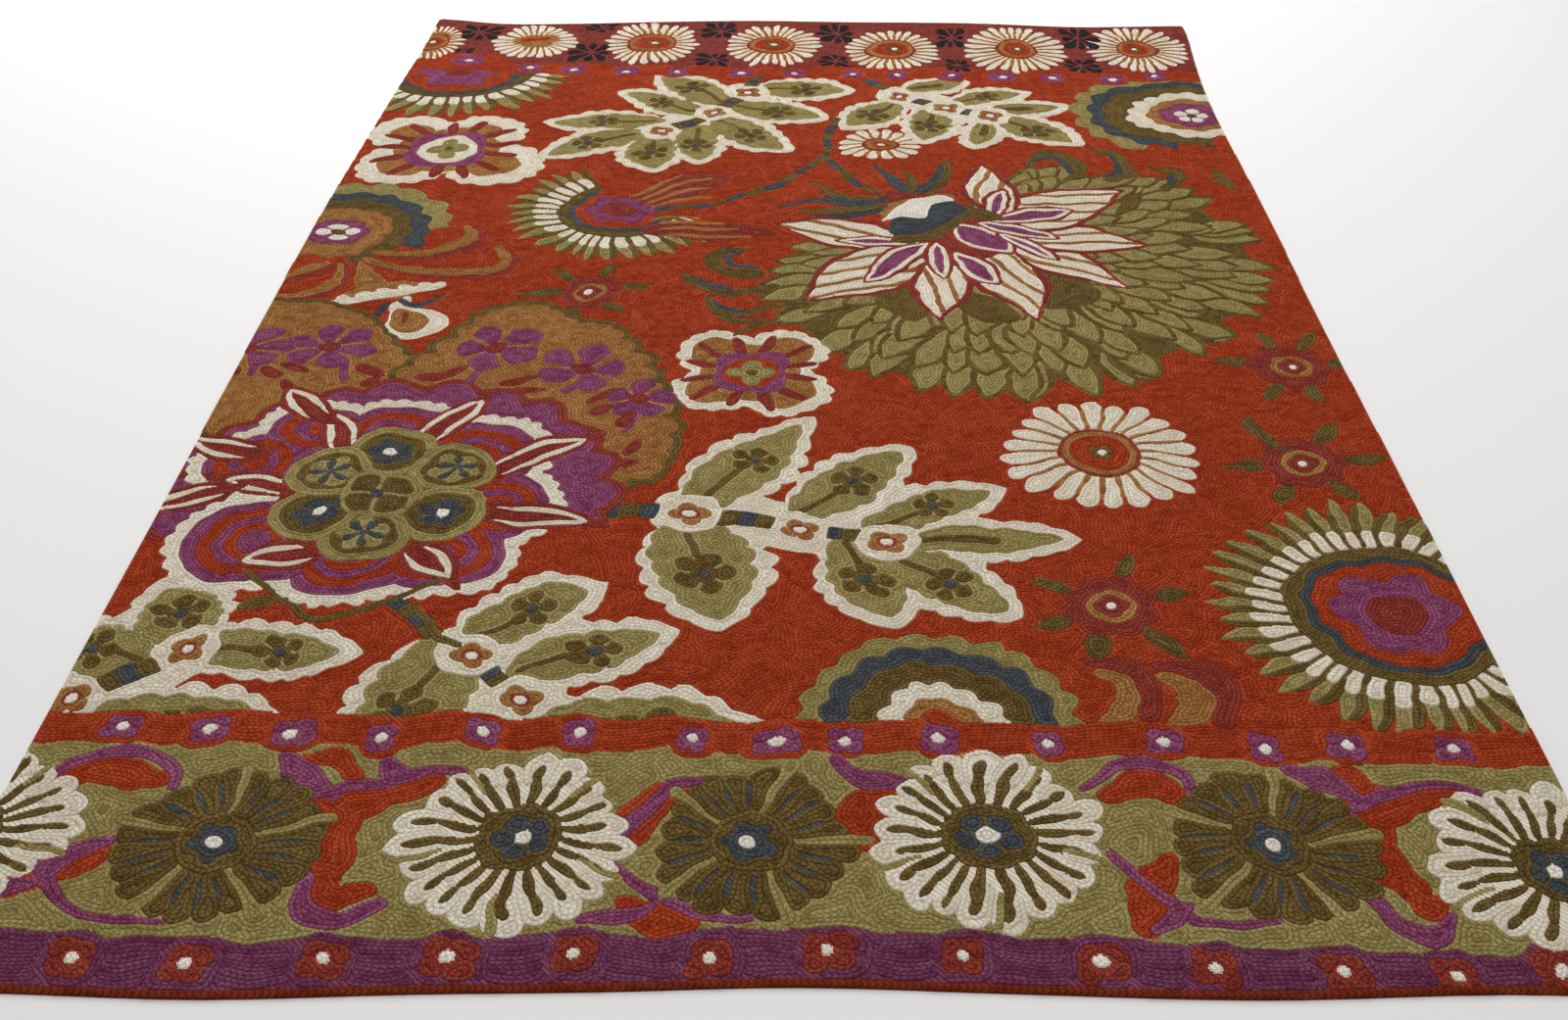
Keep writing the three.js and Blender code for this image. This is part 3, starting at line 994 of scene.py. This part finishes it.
for points, width in (
    ([(-735, -1000), (-716, -954), (-655, -934), (-612, -952), (-606, -984)], 17),
    ([(-722, -990), (-704, -1060), (-690, -1106), (-636, -1143), (-555, -1154)], 14),
    ([(-690, -1100), (-676, -1070), (-638, -1052)], 24),
    ([(-700, -1110), (-740, -1130), (-785, -1140)], 24),
    ([(-504, -940), (-482, -968), (-446, -996)], 30),
    ([(-470, -1002), (-425, -976), (-340, -962), (-266, -976)], 17),
    ([(-402, -938), (-390, -958), (-362, -962)], 28),
    ([(-452, -1104), (-440, -1142), (-404, -1152), (-374, -1124)], 26),
    ([(-86, -968), (-128, -984), (-160, -1040), (-172, -1056)], 17),
    ([(-172, -1050), (-150, -1090), (-115, -1120), (-60, -1148), (-10, -1130)], 14),
    ([(-186, -1150), (-160, -1142), (-130, -1124)], 20),
    ([(40, -934), (66, -962), (96, -968), (142, -978)], 28),
    ([(282, -972), (318, -944), (360, -942), (390, -960), (390, -996)], 17),
    ([(300, -1058), (328, -1098), (370, -1138), (434, -1142)], 15),
    ([(318, -1152), (344, -1130), (360, -1120)], 20),
    ([(488, -940), (520, -960), (550, -994)], 30),
    ([(536, -1002), (567, -984), (625, -966), (686, -986)], 17),
    ([(520, -1100), (544, -1144), (580, -1152), (602, -1128)], 26),
):
    stem(points, width, "purple", (0.55, 0.45))
for x, y in ((-795, -1040), (-261, -1048), (185, -1039), (707, -1073)):
    turn = hand.uniform(0, 20)
    disc(x, y, 74, "dark olive")
    petals(x, y, 30, 113, 21, "cream", 0.6, turn=turn, uneven=0.07, tip=17)
    petals(x, y, 26, 101, 21, "dark olive", 0, fat=0.38, turn=turn, tip=16, uneven=0.05)
    petals(x, y, 26, 84, 21, "dark olive", 0, fat=0.54, turn=turn, tip=44, uneven=0.08)
    petals(x, y, 70, 118, 5, "light olive", 0, fat=0.055, turn=turn + 180 / 21 + 0.6, tip=12)
    disc(x, y, 43, "dark olive", lobes=9, depth=0.12)
    petals(x, y, 0, 29, 5, "slate", 1.0, turn=turn, tip=14, fat=0.9)
    disc(x, y, 9, "white")
for x, y in ((-541, -1057), (-38, -1048), (452, -1047)):
    turn = hand.uniform(0, 30)
    petals(x, y, 20, 97, 20, "dark olive", 0.0, turn=turn, tip=13, uneven=0.05)
    petals(x, y, 46, 80, 20, "slate", 0, fat=0.24, turn=turn + 9, tip=14, uneven=0.08)
    petals(x, y, 38, 110, 5, "light olive", 0, fat=0.115, turn=turn + 36, tip=8, uneven=0.04)
    disc(x, y, 40, "dark olive", lobes=8, depth=0.06)
    petals(x, y, 0, 28, 5, "slate", 1.0, turn=turn, tip=14, fat=0.7)
    disc(x, y, 20, "slate")
    disc(x, y, 9, "white")


# The stitching: wool worked over the drawing in rows of chain stitch. Each patch is outlined
# first, and then row after row follows the outline inwards, so a row is a line at a set
# distance from the patch's edge. A stitch is 6.5 mm long, and the rows press on each other, with
# a bed of the same wool under and between them.
STITCH = 6.5
LONGEST_STEP = 5.6
SHORTEST_STEP = 3.2
ROW_FOOT = 2.8
ROW_HEIGHT = 1.3
HALF_ROW = 0.57 * ROW_PITCH
SHORTEST_ROW = 8.0
EVEN_STEPS = 34
SMOOTHINGS = 5
DOUBLINGS = 20
THINNEST = 1.3
HEM_FOOT = 0.3
BED_HEIGHT = 2.75
BED_CELLS = 2
WIDEST_HALF_PATCH = 62.0
FACES_FOR_A_PLACE = 4.6
MOST_FACES = 180000


def shift(cells, up, over):
    """The grid moved by a cell, with what leaves it on one side coming back on the other."""
    return np.roll(cells, (up, over), axis=(0, 1))


def close_slivers():
    """A sliver too thin for wool goes to the patch beside it. A cell is kept where it is near
    a cell that is more than a yarn's half width from the patch's edge."""
    kept = edge_distance(4.0) > THINNEST
    sides = ((1, 0), (-1, 0), (0, 1), (0, -1))
    for _ in range(2):
        grown = kept.copy()
        for up, over in sides:
            grown |= shift(kept, up, over) & (shift(patch_of, up, over) == patch_of)
        kept = grown
    kept |= patch_of == OFF_THE_RUG
    for _ in range(9):
        for up, over in sides:
            taken = ~kept & shift(kept, up, over) & (shift(patch_of, up, over) != OFF_THE_RUG)
            patch_of[taken] = shift(patch_of, up, over)[taken]
            kept |= taken


close_slivers()
depth = edge_distance(WIDEST_HALF_PATCH)
along_outline = np.abs(depth - inside_outline) < 0.7 * CELL
depth[along_outline] = inside_outline[along_outline]
in_hem = patch_of == HEM
depth[in_hem] = np.minimum(inside_outline, HEM_WIDTH - inside_outline)[in_hem]
depth[patch_of == OFF_THE_RUG] = 0

# How a line at one depth crosses a square of four cells: the corners inside it (1, 2, 4 and 8
# from the near left corner round) and the side where it comes in and the side where it goes out.
FRONT, RIGHT, BACK, LEFT = range(4)
CROSSINGS = (
    (1, FRONT, LEFT), (2, RIGHT, FRONT), (3, RIGHT, LEFT), (4, BACK, RIGHT), (5, FRONT, LEFT),
    (5, BACK, RIGHT), (6, BACK, FRONT), (7, BACK, LEFT), (8, LEFT, BACK), (9, FRONT, BACK),
    (10, RIGHT, FRONT), (10, LEFT, BACK), (11, RIGHT, BACK), (12, LEFT, RIGHT),
    (13, FRONT, RIGHT), (14, LEFT, FRONT),
)


def lines_at(height):
    """The short pieces of the line at one depth, as numbers of the cell sides where each piece
    starts and ends, with the deeper cells on its left."""
    inside = depth > height
    corners = inside[:-1, :-1] + 2 * inside[:-1, 1:] + 4 * inside[1:, 1:] + 8 * inside[1:, :-1]
    crossed = np.flatnonzero((corners > 0) & (corners < 15))
    kind = corners.ravel()[crossed]
    row, column = np.divmod(crossed, grid_shape[1] - 1)
    cell = row * grid_shape[1] + column
    upright = grid_shape[0] * grid_shape[1]
    side = {FRONT: cell, RIGHT: upright + cell + 1, BACK: cell + grid_shape[1], LEFT: upright + cell}
    starts = np.concatenate([side[come][kind == k] for k, come, _ in CROSSINGS])
    ends = np.concatenate([side[go][kind == k] for k, _, go in CROSSINGS])
    return starts, ends


def side_places(sides, height):
    """Where the line crosses each cell side, by how far the depth is between its two ends."""
    upright, cell = np.divmod(sides, grid_shape[0] * grid_shape[1])
    other = cell + np.where(upright == 1, grid_shape[1], 1)
    near, far = depth.ravel()[cell], depth.ravel()[other]
    share = (height - near) / (far - near)
    row, column = np.divmod(cell, grid_shape[1])
    over, up = np.where(upright == 1, 0, share), np.where(upright == 1, share, 0)
    return east_line[column] + over * CELL, north_line[row] + up * CELL


def all_rows():
    """Every row of stitches as a closed line: its places in order, which row each place is on,
    and the row's depth. Pieces are joined by following each piece's end to the next one's
    start, twice as far each time, until each piece knows its row's first piece and its rank."""
    xs, ys, nexts, heights, count = [], [], [], [], 0
    for k in range(int(depth.max() / ROW_PITCH) + 1):
        height = (k + 0.5) * ROW_PITCH
        starts, ends = lines_at(height)
        order = np.argsort(starts)
        starts, ends = starts[order], ends[order]
        x, y = side_places(starts, height)
        xs.append(x)
        ys.append(y)
        nexts.append(np.searchsorted(starts, ends) + count)
        heights.append(np.full(len(x), height))
        count += len(x)
    x, y, following, height = (np.concatenate(part) for part in (xs, ys, nexts, heights))
    first, ahead = np.arange(count), following.copy()
    for _ in range(DOUBLINGS):
        first = np.minimum(first, first[ahead])
        ahead = ahead[ahead]
    is_first = first == np.arange(count)
    left_to_go = np.where(is_first, 0, 1)
    ahead = np.where(is_first, np.arange(count), following)
    for _ in range(DOUBLINGS):
        left_to_go = left_to_go + left_to_go[ahead]
        ahead = ahead[ahead]
    rank = np.where(is_first, -count, -left_to_go)
    order = np.lexsort((rank, first))
    row = np.cumsum(is_first[order]) - 1
    return x[order], y[order], row, height[order]


def neighbours(row):
    """For places sorted by closed row, the number of the next place and of the one before."""
    last = np.flatnonzero(np.append(row[1:] != row[:-1], True))
    start = np.append(0, last[:-1] + 1)
    after = np.arange(1, len(row) + 1)
    after[last] = start
    before = np.arange(-1, len(row) - 1)
    before[start] = last
    return after, before, start, last


def even_steps(x, y, row, height):
    """The rows smoothed, and cut into equal steps: each place, its row, how many stitches along
    the row it is, the stitches in a step, and the row's depth. Short rows have shorter steps."""
    after, before, start, last = neighbours(row)
    for _ in range(SMOOTHINGS):
        x = 0.5 * x + 0.25 * (x[after] + x[before])
        y = 0.5 * y + 0.25 * (y[after] + y[before])
    step = np.hypot(x[after] - x, y[after] - y)
    run = np.append(0, np.cumsum(step))
    begin, length = run[start], run[last + 1] - run[start]
    kept = length > SHORTEST_ROW
    steps = np.rint(length / np.clip(length / EVEN_STEPS, SHORTEST_STEP, LONGEST_STEP)).astype(int)
    steps = np.where(kept, np.maximum(4, steps), 0)
    pace = np.maximum(2, np.rint(length / STITCH)) / np.maximum(steps, 1)
    new_row = np.repeat(np.arange(len(start)), steps)
    number = np.arange(len(new_row)) - np.repeat(np.cumsum(steps) - steps, steps)
    places = begin[new_row] + number / steps[new_row] * length[new_row]
    ring_run = np.insert(run[:-1], last + 1, run[last + 1] - 1e-6)
    even_x = np.interp(places, ring_run, np.insert(x, last + 1, x[start]))
    even_y = np.interp(places, ring_run, np.insert(y, last + 1, y[start]))
    new_place = np.repeat(np.cumsum(kept) - 1, steps)
    return even_x, even_y, new_place, number * pace[new_row], pace[new_row], height[start][new_row]


def depth_at(x, y):
    """The depth between the four cells about each place, and the patch of the nearest cell."""
    column = np.clip((x + HALF_GRID[0]) / CELL, 0, grid_shape[1] - 1.001)
    row = np.clip((y + HALF_GRID[1]) / CELL, 0, grid_shape[0] - 1.001)
    c, r = column.astype(int), row.astype(int)
    u, v = column - c, row - r
    near = depth[r, c] * (1 - u) + depth[r, c + 1] * u
    far = depth[r + 1, c] * (1 - u) + depth[r + 1, c + 1] * u
    return near * (1 - v) + far * v, patch_of[(row + 0.5).astype(int), (column + 0.5).astype(int)]


# Each place on a row looks inwards, to the next row, and outwards. A row that has no room for
# its full width is as wide as the room it has, and the less puffed the narrower it is. Along the
# rug's edge, a row's outer side goes down to the floor.
row_x, row_y, row, stitches, pace, height = even_steps(*all_rows())
after, before, start, last = neighbours(row)
along_x, along_y = row_x[after] - row_x[before], row_y[after] - row_y[before]
size = np.maximum(np.hypot(along_x, along_y), 1e-6)
in_x, in_y = -along_y / size, along_x / size
further, _ = depth_at(row_x + in_x * ROW_PITCH, row_y + in_y * ROW_PITCH)
ridge = np.clip((further - height + ROW_PITCH) / 2, 0.18 * ROW_PITCH, ROW_PITCH)
inner_edge = np.where(ridge > 0.95 * ROW_PITCH, HALF_ROW, ridge + 0.07 * ROW_PITCH)
outward = 0.5 * ROW_PITCH + 2
_, outside = depth_at(row_x - in_x * outward, row_y - in_y * outward)
at_hem = outside == OFF_THE_RUG
puff = np.clip((inner_edge + HALF_ROW) / (2 * HALF_ROW), 0.62, 1.05)
row_chance = hand.uniform(-1, 1, row.max() + 1)[row]
crown = ROW_FOOT + ROW_HEIGHT * puff + hand.uniform(-0.15, 0.1, len(row_x))
outer_edge = HALF_ROW + np.where(at_hem, 1.0, 0.0)
outer_height = np.where(at_hem, HEM_FOOT, ROW_FOOT)
_, patch_under = depth_at(row_x, row_y)


def line_beside(reach, heights):
    """The line of points at a reach inwards from each place on the rows, at these heights."""
    return np.stack([row_x + in_x * reach, row_y + in_y * reach, heights + 0 * row_x], axis=1)


lean = 0.25 * (inner_edge - outer_edge)
ridge = (-outer_edge, outer_height), (lean, crown), (inner_edge, ROW_FOOT)
row_points = np.stack([line_beside(reach, heights) for reach, heights in ridge], axis=1)


def wool(name, colour, dark, pale):
    """Hand-spun wool, dyed in the skein and worked in chain stitch: matt and a little hairy.
    The links show as rows of small Vs, with painted shade where one link goes down through the next
    and along each row's sides, and the dye took unevenly, so the colour drifts along the yarn and from
    skein to skein."""
    material, tree, shader = blank_material(name)
    place = add(tree, "TexCoord").outputs["Object"]
    skein = add(tree, "Attribute", attribute_name="skein").outputs["Fac"]
    u, v, _ = add(tree, "SeparateXYZ", {0: add(tree, "UVMap", uv_map="rows")}).outputs

    # How far a spot is from the row's middle line, and how near it is to where two links meet: these say
    # where shade is painted.
    across = add(tree, "Math", {0: u, 1: 2.0, 2: -1.0}, operation="MULTIPLY_ADD")
    off_centre = add(tree, "Math", {0: across}, operation="ABSOLUTE")
    slant = add(tree, "Math", {0: off_centre, 1: 0.7, 2: v}, operation="MULTIPLY_ADD")
    link = add(tree, "Math", {0: slant, 1: 0.5}, operation="PINGPONG")
    body = add(tree, "MapRange", {0: link, 1: 0.0, 2: 0.23, 3: 0.13, 4: 1.0},
        interpolation_type="SMOOTHSTEP")

    # Fibres and streaks run along the yarn, and drift and grain lie on the whole cloth.
    strand = add(tree, "CombineXYZ", {0: u, 1: v, 2: skein})
    fine = add(tree, "VectorMath", {0: strand, 1: (8.0, 1.8, 50.0)}, operation="MULTIPLY")
    long = add(tree, "VectorMath", {0: strand, 1: (0.5, 0.28, 90.0)}, operation="MULTIPLY")
    fibre, streak, drift, grain = (
        add(tree, "TexNoise", {"Vector": vector, "Scale": scale, "Detail": detail})
        for vector, scale, detail in (
            (fine, 1.0, 3.0), (long, 1.0, 1.0), (place, 9.0, 3.0), (place, 105.0, 2.0),
        )
    )
    # Painted shade: the colour is darkened towards each row's sides, with a ragged fibre edge, and where
    # two links meet. lit is one where no shade is painted.
    ragged = add(tree, "Math", {0: fibre, 1: 0.9, 2: off_centre}, operation="MULTIPLY_ADD")
    groove_shade = add(tree, "MapRange", {0: ragged, 1: 1.52, 2: 0.93, 3: 0.06, 4: 1.0},
        interpolation_type="SMOOTHSTEP")
    lit = add(tree, "Math", {0: body, 1: groove_shade}, operation="MULTIPLY")

    # The dye is the sum of them all, each by its weight.
    mood = fibre
    for part, weight in ((skein, 0.2), (grain, 1.7), (streak, 1.0), (drift, 0.35)):
        mood = add(tree, "Math", {0: part, 1: weight, 2: mood}, operation="MULTIPLY_ADD")
    dye = add(tree, "MapRange", {0: mood, 1: 1.55, 2: 2.5, 3: 0.0, 4: 1.0})
    skin = add(tree, "Mix", {0: dye, 6: linear(colour), 7: linear(pale)}, data_type="RGBA")
    # Painted shade: the dark colour is mixed in where lit is low.
    shade = add(tree, "Mix", {0: lit, 6: linear(dark), 7: skin.outputs[2]}, data_type="RGBA")
    tree.links.new(shade.outputs[2], shader.inputs["Base Color"])
    ply = add(tree, "Math", {0: fibre, 1: 0.35, 2: lit}, operation="MULTIPLY_ADD")
    raised = add(tree, "Bump", {"Strength": 0.6, "Distance": 0.0007, "Height": ply})
    tree.links.new(raised.outputs[0], shader.inputs["Normal"])
    shader.inputs["Roughness"].default_value = 0.95
    shader.inputs["Specular IOR Level"].default_value = 0.06
    return material


def bed_runs(index, south, north_end):
    """The wool under the rows: the yarn's cells as one flat strip for each unbroken run along a
    line of cells. Returns the corners of each strip, anticlockwise, with two cells to a line."""
    lines = yarn_of_cell[::BED_CELLS]
    heights = north_line[::BED_CELLS] - CELL / 2
    mine = np.zeros((len(lines), lines.shape[1] + 2), bool)
    mine[:, 1:-1] = (lines == index) & (heights >= south)[:, None] & (heights < north_end)[:, None]
    line, begin = np.nonzero(mine[:, 1:] & ~mine[:, :-1])
    _, end = np.nonzero(mine[:, :-1] & ~mine[:, 1:])
    west = -HALF_GRID[0] - CELL / 2
    x0, x1, y0 = west + begin * CELL, west + end * CELL, heights[line]
    y1, z = y0 + BED_CELLS * CELL, np.full(len(line), BED_HEIGHT)
    corners = ((x0, y0, z), (x1, y0, z), (x1, y1, z), (x0, y1, z))
    return np.stack([np.stack(corner, axis=1) for corner in corners], axis=1)


def stitch_piece(name, chosen, bed, material):
    """One mesh of all the chosen rows, whose strips close on themselves, and their bed. The rows
    map runs across each row from 0 to 1 and along it by one for each stitch; the other is a
    plain plan."""
    where = np.flatnonzero(chosen)
    place = np.full(len(row_x), -1)
    place[where] = np.arange(len(where))
    here, there = place[where] * 3, place[after[where]] * 3
    right = np.stack([here, there, there + 1, here + 1], axis=1)
    left = np.stack([here + 1, there + 1, there + 2, here + 2], axis=1)
    flat = np.arange(len(bed) * 4).reshape(-1, 4) + len(where) * 3
    faces = np.concatenate([right, left, flat])
    points = np.concatenate([row_points[where].reshape(-1, 3), bed.reshape(-1, 3)]) * MM
    mesh = bpy.data.meshes.new(name)
    mesh.vertices.add(len(points))
    mesh.vertices.foreach_set("co", points.ravel())
    mesh.loops.add(faces.size)
    mesh.loops.foreach_set("vertex_index", faces.ravel())
    mesh.polygons.add(len(faces))
    mesh.polygons.foreach_set("loop_start", np.arange(0, faces.size, 4))
    mesh.polygons.foreach_set("use_smooth", np.ones(len(faces), bool))
    mesh.update(calc_edges=True)
    come, go = stitches[where], stitches[where] + pace[where]
    along = np.stack([come, go, go, come], axis=1)
    across = np.repeat([[0.0, 0.0, 0.5, 0.5], [0.5, 0.5, 1.0, 1.0]], len(where), axis=0)
    rows_map = np.stack([across, np.concatenate([along, along])], axis=2)
    # The bed sits part way to a row's side on the rows map, so it takes part of the painted shade of the
    # grooves between rows.
    bed_map = np.stack([np.full((len(bed), 4), 0.74), (bed[..., 0] + bed[..., 1]) / STITCH], axis=2)
    mesh.uv_layers.new(name="rows").data.foreach_set("uv", np.concatenate([rows_map, bed_map]).ravel())
    low, high = points.min(0)[:2], points.max(0)[:2]
    plan = (points[faces.ravel()][:, :2] - low) / (high - low) * 0.98 + 0.01
    mesh.uv_layers.new(name="OFBake").data.foreach_set("uv", plan.ravel())
    skein = mesh.attributes.new("skein", "FLOAT", "POINT")
    skein.data.foreach_set("value", np.append(np.repeat(row_chance[where], 3), np.zeros(len(bed) * 4)))
    mesh.materials.append(material)
    piece = show(name, mesh)
    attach(piece, "root")
    return piece


# The yarns, each dyed in the skein: its colour, its colour darkened as painted shade down between the links
# and rows, and the paler colour where the dye took less.
YARNS = (
    # yarn, slot, colour, dark, pale
    ("rust", "rust_wool", "#963014", "#681f0d", "#be4e2a"),
    # the hem's rust is the rust wool darkened: painted shade
    ("dark rust", "rust_wool", "#6c2412", "#46160a", "#8e3a21"),
    ("brick", "brick_wool", "#822d26", "#4e1813", "#a4483a"),
    ("rose", "rose_wool", "#7c332c", "#541d19", "#994a40"),
    ("purple", "purple_wool", "#7d3457", "#501c38", "#a45e80"),
    # the front guard's purple is the purple wool darkened: painted shade
    ("dark purple", "purple_wool", "#692b48", "#42172d", "#8a4f6b"),
    ("light olive", "light_olive_wool", "#8b7b46", "#68592f", "#b0a26a"),
    ("dark olive", "dark_olive_wool", "#5e4923", "#34280f", "#836c3c"),
    ("cream", "cream_wool", "#d9ccb5", "#b8ab93", "#f8f1e2"),
    ("white", "cream_wool", "#e6ddcf", "#b8ad97", "#fbf6ee"),
    ("slate", "slate_blue_wool", "#3f4345", "#26292c", "#5d6165"),
    ("ochre", "ochre_wool", "#925c2d", "#64401b", "#bd8a52"),
    ("black", "black_wool", "#1f191d", "#120e11", "#3a3238"),
)
numbers = {yarn: index for index, (yarn, *_) in enumerate(YARNS)}
yarn_number = np.array([numbers.get(yarn, -1) for yarn in yarn_of])
yarn_of_cell = yarn_number[patch_of]
first_place = start[row]
row_yarn = yarn_number[patch_under[first_place]]
for index, (yarn, slot, colour, dark, pale) in enumerate(YARNS):
    material = wool(yarn.replace(" ", "_") + "_chain_stitched_wool", colour, dark, pale)
    mine = row_yarn == index
    parts = max(1, math.ceil(mine.sum() * FACES_FOR_A_PLACE / MOST_FACES))
    cuts = np.quantile(row_y[first_place[mine]], np.linspace(0, 1, parts + 1))
    cuts[[0, -1]] = -HALF_GRID[1], HALF_GRID[1]
    for part in range(parts):
        chosen = mine & (row_y[first_place] >= cuts[part]) & (row_y[first_place] < cuts[part + 1])
        name = yarn.replace(" ", "_") + "_stitches" + (f"_{part + 1}" if parts > 1 else "")
        bed = bed_runs(index, cuts[part], cuts[part + 1])
        stitch_piece(name, chosen, bed, material)

# The floor: a plain pale studio floor.
FLOOR_HALF = 12.0
FLOOR_LINES = 13
floor_mesh = bpy.data.meshes.new("floor")
floor_line = np.linspace(-FLOOR_HALF, FLOOR_HALF, FLOOR_LINES)
floor_x, floor_y = np.meshgrid(floor_line, floor_line)
floor_points = np.stack([floor_x, floor_y, np.zeros_like(floor_x)], axis=2).reshape(-1, 3)
floor_mesh.from_pydata(floor_points, [], grid_faces(FLOOR_LINES, FLOOR_LINES))
floor_paint, _, floor_shader = blank_material("pale_studio_floor")
floor_shader.inputs["Base Color"].default_value = linear("#f9f8f7")
floor_shader.inputs["Roughness"].default_value = 0.8
floor_mesh.materials.append(floor_paint)
floor = show("floor", floor_mesh)


# The light: a pale room, a large soft window light beyond the back edge, and two weak ones, from
# behind the camera and from over the rug.
def soft_light(name, place, aim, width, power):
    """A square area light at a place, turned to face the point that it aims at."""
    lamp = bpy.data.lights.new(name, "AREA")
    lamp.energy = power
    lamp.size = width
    made = show(name, lamp)
    heading = np.array(aim) - np.array(place)
    flat = math.hypot(heading[0], heading[1])
    made.location = place
    made.rotation_euler = (math.atan2(flat, -heading[2]), 0, math.atan2(-heading[0], heading[1]))


soft_light("window", (-0.6, 3.4, 2.6), (0, 0.3, 0), 2.2, 124)
soft_light("fill", (1.4, -3.0, 3.2), (0, -0.4, 0), 3.0, 6)
soft_light("ceiling", (0.0, -0.1, 2.4), (0, -0.1, 0), 1.4, 7)
world = bpy.data.worlds.new("pale_room")
world.use_nodes = True
world.node_tree.nodes["Background"].inputs["Color"].default_value = linear("#e9e8e6")
world.node_tree.nodes["Background"].inputs["Strength"].default_value = 0.55
bpy.context.scene.world = world
bpy.context.scene.view_settings.view_transform = "Standard"

# The camera stands at the front edge and looks down along the rug, as in the photograph.
LOOKS_DOWN = 35.156
camera_data = bpy.data.cameras.new("camera")
camera_data.sensor_width = 36.0
camera_data.lens = 38.71
camera = show("camera", camera_data)
camera.location = (0.0075, -2.1666, 1.1727)
camera.rotation_euler = (math.radians(90 - LOOKS_DOWN), 0, math.radians(0.794))
bpy.context.scene.camera = camera
